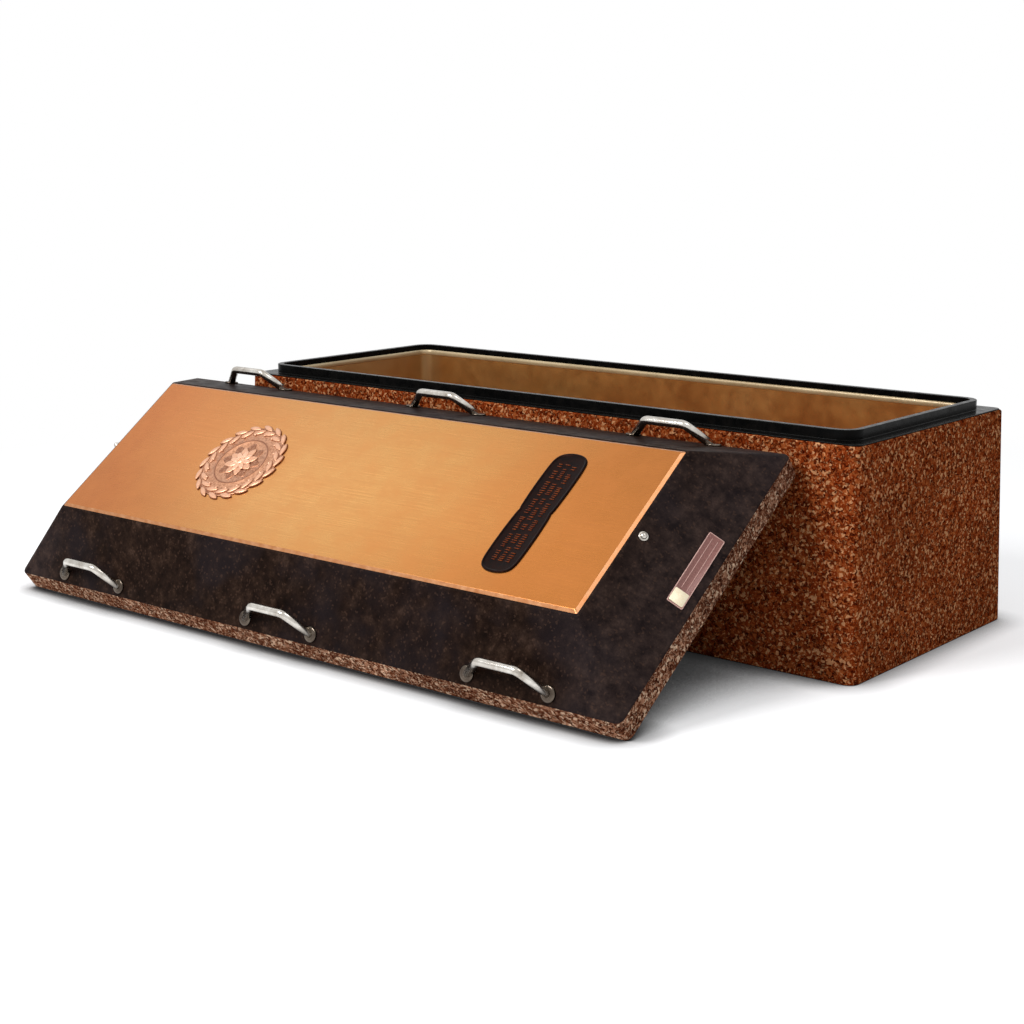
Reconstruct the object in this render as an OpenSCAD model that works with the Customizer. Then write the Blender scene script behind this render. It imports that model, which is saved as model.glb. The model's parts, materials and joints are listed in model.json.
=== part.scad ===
// Burial vault: an open stone-finished outer box with a metal liner, and its domed lid, which has
// been lifted off and leans against one long side of the box.
// X runs along the box, Y across it and Z up. The origin is the centre of the box's underside.

/* [Box] */
// Length of the box at its foot
box_length = 2310; // [2000:10:2800]
// Width of the box at its foot
box_width = 890; // [760:10:1100]
// Height of the stone box without its sealing rim
box_height = 625; // [500:5:800]
// How far each outer wall leans in over the height of the box
box_draft = 20; // [5:1:30]
// Radius of the box's upright corners
box_corner_r = 32; // [20:1:50]
// Thickness of the stone floor
floor_t = 55; // [40:1:80]
// Radius of the upright corners of the space inside
cavity_corner_r = 38; // [30:1:60]

/* [Sealing rim] */
// Width of the shoulder between the box's top edge and the tongue
shoulder_w = 44; // [36:1:60]
// Thickness of the tongue
tongue_t = 20; // [14:1:26]
// Height of the tongue above the stone
tongue_h = 32; // [24:1:40]
// Thickness of the flange that lies on the shoulder
flange_t = 4; // [3:0.5:6]
// Stone left bare outside the flange
flange_margin = 5; // [3:1:10]

/* [Liner] */
// Thickness of the liner's sheet
liner_t = 2; // [1.5:0.5:4]
// How far the liner stands up behind the tongue, above the stone
liner_rise = 14; // [8:1:20]
// Height of the rolled hem along the liner's top
hem_h = 18; // [10:1:24]
// Thickness of the rolled hem
hem_t = 6; // [4:0.5:10]

/* [Lid] */
// How far the lid reaches past each end of the box's foot
lid_end_overhang = 15; // [5:1:30]
// How far the lid reaches past each side of the box's foot
lid_side_overhang = 10; // [5:1:20]
// Height of the lid's upright stone edge
lid_edge_h = 66; // [50:1:90]
// Radius of the lid's upright corners
lid_corner_r = 20; // [10:1:40]
// Height of the sloping faces
slope_rise = 154; // [120:1:200]
// Level distance that the long slopes cover
side_slope_run = 170; // [140:1:220]
// Level distance that the end slopes cover
end_slope_run = 163; // [140:1:220]
// Thickness of stone over the hollow, level or sloping
lid_wall = 50; // [40:1:60]
// Width of the lip between the groove and the hollow
groove_lip = 24; // [18:1:36]
// Space left round the tongue in the groove
seal_gap = 4; // [2:0.5:8]

/* [Lid at rest] */
// How far below the top of the stone box the lid's upper edge rests
lean_drop = 84; // [40:1:160]
// How far the lid stands towards the left end
lid_shift = 208; // [0:1:300]
// Space between the lid's upper edge and the wall it leans on
lean_gap = 0.3; // [0.1:0.1:1]

/* [Cover] */
// Thickness of the cover's sheet
cover_sheet_t = 1.6; // [1:0.1:3]
// Height of the cover's bevelled edge
cover_rise = 7; // [5:0.5:14]
// Level distance that the bevelled edge covers
cover_run = 9; // [6:1:20]
// Strip of lid left bare round the cover
cover_margin = 5; // [2:1:20]

/* [Handles] */
// Distance between neighbouring handles
handle_pitch = 820; // [700:5:900]
// Distance from the lid's edge to the line of the feet
handle_inset = 22; // [20:1:40]
// Diameter of the handle's bar
handle_bar_d = 24; // [16:1:26]
// Distance between the middles of the feet
handle_span = 260; // [200:5:320]
// Distance between the middles of the top bends, before rounding
handle_top = 125; // [80:5:170]
// Height of the bar's middle above the feet
handle_rise = 68; // [55:1:90]
// Radius of the bends
handle_bend_r = 26; // [18:1:36]
// Radius of each foot
foot_r = 22; // [18:1:26]
// Thickness of each foot
foot_t = 6; // [4:0.5:10]

/* [Medallion] */
// Distance from the lid's middle to the medallion's middle
medallion_x = 425; // [350:5:600]
// Radius of the backing disc
medallion_r = 142; // [90:1:160]
// Thickness of the backing disc
medallion_t = 2.5; // [2:0.5:5]
// Number of leaves in each row of the wreath
leaf_count = 18; // [10:1:20]
// Length of a leaf
leaf_l = 52; // [30:1:70]
// Width of a leaf
leaf_w = 20; // [10:1:24]
// Height of the leaves above the cover
leaf_h = 7; // [4:0.5:12]
// Number of petals in the rosette
petal_count = 8; // [5:1:10]
// Length of a petal
petal_l = 74; // [40:1:80]
// Width of a petal
petal_w = 42; // [20:1:50]
// Radius of the rosette's boss
boss_r = 16; // [10:1:24]

/* [Name plate] */
// Distance from the lid's middle to the name plate's middle
plate_x = 694; // [600:1:760]
// Part of the cover's level top left bare past each end of the name plate
plate_margin = 58; // [30:1:100]
// Width of the name plate at its waist
plate_waist = 104; // [70:1:110]
// How far each lobe stands out past the waist, on each side
plate_lobe = 6; // [0:1:30]
// Thickness of the name plate
plate_t = 4; // [2:0.5:8]

/* [End fittings] */
// Length of the label plate, across the lid
label_l = 230; // [150:5:300]
// Width of the label plate, along the slope
label_w = 46; // [30:1:60]
// Thickness of the label plate
label_t = 2.5; // [1.5:0.5:4]
// Distance along the slope from the stone edge to the label's middle
label_up = 46; // [35:1:90]
// Distance from the lid's middle line to the label's middle
label_y = 6; // [-60:1:60]
// Distance along the slope from the level top to each stud
stud_down = 24; // [18:1:60]
// Radius of the stud's flange
stud_r = 13; // [8:1:20]
// Thickness of the stud's flange
stud_t = 4; // [3:0.5:8]
// Radius of the stud's round head
stud_head_r = 9; // [5:1:12]

/* [Hidden] */
$fn = 64;
// Steps in each rounded corner of a sloping block
corner_steps = 8;
// Steps in each bend of a handle
bend_steps = 6;
// Sides of a handle's bar
bar_sides = 16;
// Steps along the name plate's outline
outline_steps = 48;
// How far a cut runs past the face it opens
over = 10;

box_top_l = box_length - 2 * box_draft;
box_top_w = box_width - 2 * box_draft;
box_top_r = box_corner_r - box_draft / 2;

tongue_l = box_top_l - 2 * shoulder_w;
tongue_w = box_top_w - 2 * shoulder_w;
cavity_l = tongue_l - 2 * tongue_t;
cavity_w = tongue_w - 2 * tongue_t;
tongue_corner_r = cavity_corner_r + tongue_t;
flange_l = box_top_l - 2 * flange_margin;
flange_w = box_top_w - 2 * flange_margin;
flange_corner_r = box_top_r;

liner_l = cavity_l - 2 * liner_t;
liner_w = cavity_w - 2 * liner_t;
liner_corner_r = cavity_corner_r - liner_t;

lid_length = box_length + 2 * lid_end_overhang;
lid_width = box_width + 2 * lid_side_overhang;
groove_h = tongue_h + seal_gap;
hollow_l = cavity_l - 2 * (seal_gap + groove_lip);
hollow_w = cavity_w - 2 * (seal_gap + groove_lip);
hollow_corner_r = cavity_corner_r;
side_slope_angle = atan(slope_rise / side_slope_run);
end_slope_angle = atan(slope_rise / end_slope_run);
level_top_l = lid_length - 2 * end_slope_run;
level_top_w = lid_width - 2 * side_slope_run;
level_top_r = 6;
level_top_z = lid_edge_h + slope_rise;
hollow_top_z = level_top_z - lid_wall;
// The hollow's sloping faces keep lid_wall of stone under the lid's own slopes.
hollow_top_l = lid_length - 2 * slope_inset(end_slope_run, end_slope_angle);
hollow_top_w = lid_width - 2 * slope_inset(side_slope_run, side_slope_angle);
// Height at which the hollow's upright side walls turn into slopes
hollow_bend_z = hollow_top_z - (hollow_w - hollow_top_w) / 2 * slope_rise / side_slope_run;

cover_l = level_top_l - 2 * cover_margin;
cover_w = level_top_w - 2 * cover_margin;
cover_top_z = level_top_z + cover_rise;
cover_corner_r = 5;
// Level thickness of the sheet where it is bevelled
cover_side = cover_sheet_t / sin(atan(cover_rise / cover_run));
pad_h = cover_rise - cover_sheet_t;
pad_top_inset = cover_side + pad_h * cover_run / cover_rise;
plate_l = cover_w - 2 * cover_run - 2 * plate_margin;

// Angle at which the lid leans
lid_tilt = asin((box_height - lean_drop) / lid_width);
lid_half_depth = lid_width / 2 * cos(lid_tilt);
lid_z = lid_width / 2 * sin(lid_tilt);
// Half width of the box at the height that the lid's upper edge reaches
box_half_w_at_lid = box_width / 2 - box_draft * 2 * lid_z / box_height;
lid_y = -box_half_w_at_lid - lean_gap - lid_half_depth;

handle_y = lid_width / 2 - handle_inset;
handle_foot_z = lid_edge_h + handle_inset * slope_rise / side_slope_run;
leg_angle = atan(handle_rise / ((handle_span - handle_top) / 2));
bend_tangent = handle_bend_r * tan(leg_angle / 2);
stud_up = end_slope_run / cos(end_slope_angle) - stud_down;

// How far in from the lid's edge the hollow's slope lies, at the level of the hollow's ceiling
function slope_inset(run, angle) = run * (slope_rise - lid_wall) / slope_rise + lid_wall / sin(angle);

// The corner points of a rounded rectangle, counter-clockwise, at height z
function ring(l, w, r, z) = [
  for (corner = [0:3], step = [0:corner_steps])
    let (
      angle = 90 * (corner + step / corner_steps),
      cx = (corner == 0 || corner == 3 ? 1 : -1) * (l / 2 - r),
      cy = (corner < 2 ? 1 : -1) * (w / 2 - r)
    )
    [cx + r * cos(angle), cy + r * sin(angle), z]
];

// A block through a stack of rounded rectangles, each given as [length, width, corner radius, height]
module stacked_block(sections) {
  n = 4 * (corner_steps + 1);
  last = len(sections) - 1;
  polyhedron(
    points = [for (s = sections) each ring(s[0], s[1], s[2], s[3])],
    faces = concat(
      [[for (i = [0:n - 1]) i]],
      [[for (i = [0:n - 1]) last * n + n - 1 - i]],
      [
        for (level = [0:last - 1], i = [0:n - 1])
          let (a = level * n, next = (i + 1) % n)
          [a + i, a + n + i, a + n + next, a + next]
      ]
    )
  );
}

module rounded_rect(l, w, r) {
  square([l, w - 2 * r], center = true);
  square([l - 2 * r, w], center = true);
  for (x = [-1, 1], y = [-1, 1])
    translate([x * (l / 2 - r), y * (w / 2 - r)])
      circle(r = r);
}

module rounded_block(l, w, r, z0, z1) {
  translate([0, 0, z0])
    linear_extrude(z1 - z0)
      rounded_rect(l, w, r);
}

// A pointed leaf shape along X
module leaf_outline(l, w) {
  arc_r = (l * l + w * w) / (4 * w);
  intersection() {
    translate([0, arc_r - w / 2])
      circle(r = arc_r);
    translate([0, w / 2 - arc_r])
      circle(r = arc_r);
  }
}

// Puts a piece of the lid, modelled level with the middle of its underside at the origin, where it rests
module on_lid() {
  translate([-lid_shift, lid_y, lid_z])
    rotate([lid_tilt, 0, 0])
      children();
}

// Puts a fitting on an end slope of the lid, up from the stone edge: +Z is the slope's outward normal
module on_end_slope(side, up, y) {
  translate([side * lid_length / 2, y, lid_edge_h])
    rotate([0, side * end_slope_angle, 0])
      translate([-side * up, 0, 0])
        children();
}

module vault_box() {
  color("saddlebrown")
    difference() {
      stacked_block([
        [box_length, box_width, box_corner_r, 0],
        [box_top_l, box_top_w, box_top_r, box_height]
      ]);
      rounded_block(cavity_l, cavity_w, cavity_corner_r, floor_t, box_height + over);
    }
}

module sealing_rim() {
  color("black")
    difference() {
      union() {
        rounded_block(flange_l, flange_w, flange_corner_r, box_height, box_height + flange_t);
        rounded_block(tongue_l, tongue_w, tongue_corner_r, box_height, box_height + tongue_h);
      }
      rounded_block(
        cavity_l, cavity_w, cavity_corner_r,
        box_height - over, box_height + tongue_h + over
      );
    }
}

module box_liner() {
  liner_top = box_height + liner_rise;
  hem_inset = 2 * hem_t;
  color("darkgoldenrod")
    difference() {
      rounded_block(cavity_l, cavity_w, cavity_corner_r, floor_t, liner_top);
      rounded_block(liner_l, liner_w, liner_corner_r, floor_t + liner_t, liner_top - hem_h);
      rounded_block(
        cavity_l - hem_inset, cavity_w - hem_inset, cavity_corner_r - hem_t,
        liner_top - hem_h, liner_top + over
      );
    }
}

// The groove that takes the tongue when the lid is on the box
module seal_groove() {
  outer_r = tongue_corner_r + seal_gap;
  inner_r = cavity_corner_r - seal_gap;
  difference() {
    rounded_block(
      tongue_l + 2 * seal_gap, tongue_w + 2 * seal_gap, outer_r,
      -over, groove_h
    );
    rounded_block(
      cavity_l - 2 * seal_gap, cavity_w - 2 * seal_gap, inner_r,
      -2 * over, groove_h + over
    );
  }
}

module lid_hollow() {
  stacked_block([
    [hollow_l, hollow_w, hollow_corner_r, -over],
    [hollow_l, hollow_w, hollow_corner_r, hollow_bend_z],
    [hollow_top_l, hollow_top_w, level_top_r, hollow_top_z]
  ]);
}

module lid_slab() {
  color("dimgray")
    on_lid()
      difference() {
        union() {
          stacked_block([
            [lid_length, lid_width, lid_corner_r, 0],
            [lid_length, lid_width, lid_corner_r, lid_edge_h],
            [level_top_l, level_top_w, level_top_r, level_top_z]
          ]);
          cover_pad();
        }
        seal_groove();
        lid_hollow();
      }
}

// The low raised panel of the lid that the cover is folded over
module cover_pad() {
  pad_l = cover_l - 2 * cover_side;
  pad_w = cover_w - 2 * cover_side;
  pad_top_l = cover_l - 2 * pad_top_inset;
  pad_top_w = cover_w - 2 * pad_top_inset;
  stacked_block([
    [pad_l, pad_w, cover_corner_r, level_top_z],
    [pad_top_l, pad_top_w, cover_corner_r, level_top_z + pad_h]
  ]);
}

module cover_sheet() {
  color("peru")
    on_lid()
      difference() {
        stacked_block([
          [cover_l, cover_w, cover_corner_r, level_top_z],
          [cover_l - 2 * cover_run, cover_w - 2 * cover_run, cover_corner_r, cover_top_z]
        ]);
        cover_pad();
      }
}

// A wreath of leaves in two rows round a rosette, on a thin disc
module medallion() {
  color("rosybrown")
    on_lid()
      translate([-medallion_x, 0, cover_top_z]) {
        cylinder(h = medallion_t, r = medallion_r);
        linear_extrude(leaf_h)
          wreath();
        linear_extrude(leaf_h)
          for (i = [0:petal_count - 1])
            rotate(360 / petal_count * i)
              translate([petal_l / 2 + boss_r / 3, 0])
                leaf_outline(petal_l, petal_w);
        intersection() {
          sphere(r = boss_r);
          cylinder(h = boss_r, r = boss_r);
        }
      }
}

module wreath() {
  // Each leaf turns away from the wreath's line by this angle.
  leaf_turn = 18;
  for (i = [0:leaf_count - 1], row = [-1, 1])
    rotate(360 / leaf_count * (i + (row + 1) / 4))
      translate([medallion_r - leaf_w / 2 + row * leaf_w / 2, 0])
        rotate(90 + row * -leaf_turn)
          leaf_outline(leaf_l, leaf_w);
}

// Half width of the name plate at s, from -1 at one end through 0 at the waist to 1 at the other
function plate_half_w(s) =
  (plate_waist / 2 + plate_lobe * sqrt(abs(sin(180 * s)))) * sqrt(1 - pow(abs(s), 16));

module name_plate() {
  side = [
    for (i = [0:outline_steps])
      let (s = cos(180 * i / outline_steps))
      [plate_half_w(s), s * plate_l / 2]
  ];
  other_side = [
    for (i = [1:outline_steps - 1])
      let (point = side[outline_steps - i])
      [-point[0], point[1]]
  ];
  color("maroon")
    on_lid()
      translate([plate_x, 0, cover_top_z])
        linear_extrude(plate_t)
          polygon(concat(side, other_side));
}

module label_plate() {
  label_corner_r = 4;
  color("tan")
    on_lid()
      on_end_slope(1, label_up, label_y)
        rounded_block(label_w, label_l, label_corner_r, 0, label_t);
}

module stud(side) {
  color("gainsboro")
    on_lid()
      on_end_slope(side, stud_up, 0) {
        cylinder(h = stud_t, r = stud_r);
        translate([0, 0, stud_t])
          intersection() {
            sphere(r = stud_head_r);
            cylinder(h = stud_head_r, r = stud_head_r);
          }
      }
}

// The line of a handle's bar in the XZ plane, from below one foot to below the other, as
// [x, z, direction] with the direction as an angle above +X
function handle_line() = concat(
  [handle_end(-1)],
  [for (i = [0:bend_steps]) bend_point(-1, leg_angle * (1 - i / bend_steps))],
  [for (i = [0:bend_steps]) bend_point(1, -leg_angle * i / bend_steps)],
  [handle_end(1)]
);

function bend_point(side, direction) = [
  side * (handle_top / 2 - bend_tangent) - handle_bend_r * sin(direction),
  handle_rise - handle_bend_r * (1 - cos(direction)),
  direction
];

function handle_end(side) = [
  side * (handle_span / 2 + handle_bar_d * cos(leg_angle)),
  -handle_bar_d * sin(leg_angle),
  -side * leg_angle
];

// The bar of a handle: one tube along the handle's line
module handle_bar() {
  line = handle_line();
  last = len(line) - 1;
  points = [
    for (p = line, k = [0:bar_sides - 1])
      let (around = 360 * k / bar_sides, out = handle_bar_d / 2 * cos(around))
      [p[0] - out * sin(p[2]), -handle_bar_d / 2 * sin(around), p[1] + out * cos(p[2])]
  ];
  polyhedron(
    points = points,
    faces = concat(
      [[for (k = [0:bar_sides - 1]) k]],
      [[for (k = [0:bar_sides - 1]) last * bar_sides + bar_sides - 1 - k]],
      [
        for (i = [0:last - 1], k = [0:bar_sides - 1])
          let (a = i * bar_sides, next = (k + 1) % bar_sides)
          [a + k, a + bar_sides + k, a + bar_sides + next, a + next]
      ]
    )
  );
}

// A handle on its slope: the slope's surface passes through the origin and falls away towards -Y
module handle() {
  difference() {
    union() {
      handle_bar();
      for (side = [-1, 1])
        translate([side * handle_span / 2, 0, 0])
          rotate([side_slope_angle, 0, 0])
            cylinder(h = foot_t, r = foot_r);
    }
    rotate([side_slope_angle, 0, 0])
      translate([-handle_span, -handle_span, -handle_span])
        cube([2 * handle_span, 2 * handle_span, handle_span]);
  }
}

// side is -1 for the front row and 1 for the back row; place counts from the left, -1 to 1
module placed_handle(side, place) {
  color("silver")
    on_lid()
      translate([place * handle_pitch, side * handle_y, handle_foot_z])
        mirror([0, (side + 1) / 2, 0])
          handle();
}

vault_box();
sealing_rim();
box_liner();
lid_slab();
cover_sheet();
medallion();
name_plate();
label_plate();
stud(1);  // stud_right
stud(-1);  // stud_left
placed_handle(-1, -1);  // handle_front_left
placed_handle(-1, 0);  // handle_front_middle
placed_handle(-1, 1);  // handle_front_right
placed_handle(1, -1);  // handle_back_left
placed_handle(1, 0);  // handle_back_middle
placed_handle(1, 1);  // handle_back_right
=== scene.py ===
"""A burial vault and its leaning lid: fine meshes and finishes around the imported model, in metres.

The pieces of the lid are modelled in the lid's own frame, level and with the middle of its
underside at the origin, and are then moved to where the lid rests.
"""

import json
from math import atan, atan2, cos, exp, pi, radians, sin, sqrt, tan
from random import Random

import bmesh
import bpy
from mathutils import Matrix, Vector


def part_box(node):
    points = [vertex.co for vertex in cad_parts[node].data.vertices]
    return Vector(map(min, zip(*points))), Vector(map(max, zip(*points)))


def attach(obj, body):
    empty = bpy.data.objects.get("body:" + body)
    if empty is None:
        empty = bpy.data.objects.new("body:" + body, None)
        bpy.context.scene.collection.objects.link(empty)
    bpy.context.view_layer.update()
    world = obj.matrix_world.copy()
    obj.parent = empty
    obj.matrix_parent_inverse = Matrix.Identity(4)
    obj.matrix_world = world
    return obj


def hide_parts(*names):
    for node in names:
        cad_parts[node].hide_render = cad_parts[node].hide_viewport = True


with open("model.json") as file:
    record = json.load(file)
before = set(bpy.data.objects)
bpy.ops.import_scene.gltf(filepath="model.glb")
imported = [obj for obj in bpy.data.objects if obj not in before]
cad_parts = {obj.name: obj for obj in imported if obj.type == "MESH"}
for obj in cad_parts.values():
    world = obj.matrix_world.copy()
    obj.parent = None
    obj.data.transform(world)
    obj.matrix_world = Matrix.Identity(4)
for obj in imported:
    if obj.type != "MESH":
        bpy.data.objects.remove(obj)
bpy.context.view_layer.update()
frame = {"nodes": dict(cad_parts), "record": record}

# ---------------------------------------------------------------- sizes shared with the part

# Box, rim and liner
BOX_DRAFT = 0.020
BOX_CORNER_R = 0.032
CAVITY_CORNER_R = 0.038
TONGUE_T = 0.020
FLANGE_T = 0.004
FLANGE_CORNER_R = 0.022
LINER_T = 0.002
HEM_H = 0.018
HEM_T = 0.006

# Lid and cover
LID_EDGE_H = 0.066
LID_CORNER_R = 0.020
SIDE_SLOPE_RUN = 0.170
END_SLOPE_RUN = 0.163
LEVEL_TOP_R = 0.006
LID_WALL = 0.050
GROOVE_LIP = 0.024
SEAL_GAP = 0.004
COVER_SHEET_T = 0.0016
COVER_RUN = 0.009
COVER_CORNER_R = 0.005

# Handles
HANDLE_BAR_D = 0.024
HANDLE_SPAN = 0.260
HANDLE_TOP = 0.125
HANDLE_RISE = 0.068
HANDLE_BEND_R = 0.026
FOOT_R = 0.022
FOOT_T = 0.006

# Medallion, name plate, label plate and studs
MEDALLION_R = 0.142
BOSS_R = 0.016
PLATE_WAIST = 0.104
PLATE_LOBE = 0.006
LABEL_W = 0.046
LABEL_T = 0.0025
LABEL_UP = 0.046
STUD_DOWN = 0.024

# ---------------------------------------------------------------- sizes of the finer relief

CORNER_STEPS = 10

LINER_BEND_R = 0.022
LINER_BEND_STEPS = 5
HEM_STEPS = 10

DISC_T = 0.0025
LEAF_COUNT = 18
LEAF_L = 0.052
LEAF_W = 0.020
LEAF_H = 0.0056
LEAF_LIFT = 0.0014
LEAF_LEAN = 18
BERRY_R = 0.0042
BERRY_IN = 0.0295
PETAL_COUNT = 8
PETAL_L = 0.074
PETAL_W = 0.042
PETAL_GROOVE = 0.0008
PETAL_CUP = 0.0022
# Rows of the rosette: share of a petal's size, half turns on, lift and height of its petals
ROSETTE_ROWS = (
    (1.0, 0, 0.0012, 0.0050),
    (0.74, 1, 0.0030, 0.0056),
    (0.50, 0, 0.0054, 0.0056),
)
SEED_COUNT = 34
SEED_R = 0.0019

PLATE_FIELD = 0.55
STROKE_RISE = 0.30
STROKE_W = 0.0030
STROKE_LENGTHS = (0.0120, 0.0150, 0.0165)
STROKE_STEPS = (0.0062, 0.0072, 0.0084)
STROKE_GROUP = (3, 7)
GROUP_GAP = 0.0110
ROW_PITCH = 0.0235
ROW_MARGIN = 0.040

TILE_W = 0.040
TILE_MARGIN = 0.005
LINE_X = 0.0080
LINE_W = 0.0022
LINE_MARGIN = 0.012
PIN_R = 0.0024
PIN_IN = 0.0070

# How far the round bar stays inside the part's flat-sided one
BAR_EASE = 0.0002

# ---------------------------------------------------------------- where things are


def mount(name):
    """One of the record's mounts."""
    return next(m for m in frame["record"]["mounts"] if m["name"] == name)


def corners(points):
    """Lowest and highest corner of the box round some points."""
    low = Vector([min(p[k] for p in points) for k in range(3)])
    high = Vector([max(p[k] for p in points) for k in range(3)])
    return low, high


def lid_frame():
    """The matrix that carries the lid's own frame to where the lid rests, and the lid's tilt."""
    normal = Vector(mount("lift_front_middle")["axis"]).normalized()
    along = Vector((1, 0, 0))
    across = normal.cross(along)
    turn = Matrix((along, across, normal)).transposed()
    back = turn.inverted()
    low, high = corners([back @ v.co for v in frame["nodes"]["lid_slab"].data.vertices])
    underside = turn @ Vector(((low.x + high.x) / 2, (low.y + high.y) / 2, low.z))
    return Matrix.Translation(underside) @ turn.to_4x4(), atan2(across.z, across.y)


LID, LID_TILT = lid_frame()
LID_ORIGIN = LID.to_translation()


def lid_box(node):
    """Lowest and highest corner of a CAD node in the lid's own frame."""
    inverse = LID.inverted()
    return corners([inverse @ v.co for v in frame["nodes"][node].data.vertices])


BOX_LOW, BOX_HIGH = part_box("vault_box")
BOX_L, BOX_W, BOX_H = BOX_HIGH - BOX_LOW
BOX_TOP_L = BOX_L - 2 * BOX_DRAFT
BOX_TOP_W = BOX_W - 2 * BOX_DRAFT
BOX_TOP_R = BOX_CORNER_R - BOX_DRAFT / 2

RIM_LOW, RIM_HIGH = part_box("sealing_rim")
FLANGE_L, FLANGE_W = (RIM_HIGH - RIM_LOW).xy

LINER_LOW, LINER_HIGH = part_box("box_liner")
CAVITY_L, CAVITY_W = (LINER_HIGH - LINER_LOW).xy
TONGUE_L = CAVITY_L + 2 * TONGUE_T
TONGUE_W = CAVITY_W + 2 * TONGUE_T
TONGUE_CORNER_R = CAVITY_CORNER_R + TONGUE_T

LID_LOW, LID_HIGH = lid_box("lid_slab")
LID_L = LID_HIGH.x - LID_LOW.x
LID_W = LID_HIGH.y - LID_LOW.y

COVER_LOW, COVER_HIGH = lid_box("cover_sheet")
COVER_L = COVER_HIGH.x - COVER_LOW.x
COVER_W = COVER_HIGH.y - COVER_LOW.y
LEVEL_TOP_Z = COVER_LOW.z
COVER_TOP_Z = COVER_HIGH.z
COVER_RISE = COVER_TOP_Z - LEVEL_TOP_Z
COVER_SIDE = COVER_SHEET_T / sin(atan(COVER_RISE / COVER_RUN))
PAD_H = COVER_RISE - COVER_SHEET_T
PAD_IN = COVER_SIDE + PAD_H * COVER_RUN / COVER_RISE
LEVEL_TOP_L = LID_L - 2 * END_SLOPE_RUN
LEVEL_TOP_W = LID_W - 2 * SIDE_SLOPE_RUN
SLOPE_RISE = LEVEL_TOP_Z - LID_EDGE_H
SIDE_SLOPE_ANGLE = atan(SLOPE_RISE / SIDE_SLOPE_RUN)
END_SLOPE_ANGLE = atan(SLOPE_RISE / END_SLOPE_RUN)

# ---------------------------------------------------------------- mesh helpers


def ring(length, width, radius, z):
    """The points of a rounded rectangle, counter-clockwise, at height z."""
    points = []
    for corner in range(4):
        cx = (length / 2 - radius) * (1 if corner in (0, 3) else -1)
        cy = (width / 2 - radius) * (1 if corner < 2 else -1)
        for step in range(CORNER_STEPS + 1):
            angle = pi / 2 * (corner + step / CORNER_STEPS)
            points.append(Vector((cx + radius * cos(angle), cy + radius * sin(angle), z)))
    return points


def circle(radius, z, sides):
    """The points of a circle, counter-clockwise, at height z."""
    return [
        Vector((radius * cos(2 * pi * k / sides), radius * sin(2 * pi * k / sides), z))
        for k in range(sides)
    ]


def inset(points, distance, z):
    """A closed outline moved inward by a distance and set at height z."""
    moved = []
    for i, point in enumerate(points):
        run = (points[(i + 1) % len(points)] - points[i - 1]).normalized()
        moved.append(Vector((point.x - run.y * distance, point.y + run.x * distance, z)))
    return moved


def loft(bm, rings, finishes=None, place=Matrix.Identity(4)):
    """A closed skin through rings of the same number of points, capped at both ends."""
    rows = [[bm.verts.new(place @ p) for p in points] for points in rings]
    count = len(rows[0])
    faces = []
    for level in range(len(rows) - 1):
        a, b = rows[level], rows[level + 1]
        for i in range(count):
            j = (i + 1) % count
            face = bm.faces.new((a[i], a[j], b[j], b[i]))
            face.material_index = finishes[level] if finishes else 0
            faces.append(face)
    for row, level in ((rows[0], 0), (rows[-1], -1)):
        cap = bm.faces.new(row)
        cap.material_index = finishes[level] if finishes else 0
        faces.append(cap)
    bmesh.ops.recalc_face_normals(bm, faces=faces)
    return faces


def tube(bm, line, radius, sides, place=Matrix.Identity(4)):
    """A round bar along a line in the XZ plane, given as points with their directions."""
    rings = []
    for x, z, direction in line:
        across = Vector((-sin(direction), 0, cos(direction)))
        centre = Vector((x, 0, z))
        rings.append([
            centre + radius * (cos(2 * pi * k / sides) * across
                               + sin(2 * pi * k / sides) * Vector((0, 1, 0)))
            for k in range(sides)
        ])
    loft(bm, rings, place=place)


def piece(name, bm, finishes, nodes, soften=0.0, segments=3):
    """A shown piece: it takes the nodes' place, rides on the body and gets softened edges."""
    mesh = bpy.data.meshes.new(name)
    bm.to_mesh(mesh)
    bm.free()
    for polygon in mesh.polygons:
        polygon.use_smooth = True
    made = bpy.data.objects.new(name, mesh)
    bpy.context.scene.collection.objects.link(made)
    for finish in finishes:
        mesh.materials.append(finish)
    if soften:
        bevel = made.modifiers.new("softened edges", "BEVEL")
        bevel.width = soften
        bevel.segments = segments
        bevel.limit_method = "ANGLE"
        bevel.angle_limit = radians(28)
        normals = made.modifiers.new("face normals", "WEIGHTED_NORMAL")
        normals.keep_sharp = True
    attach(made, "root")
    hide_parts(*nodes)


# ---------------------------------------------------------------- material helpers


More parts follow.
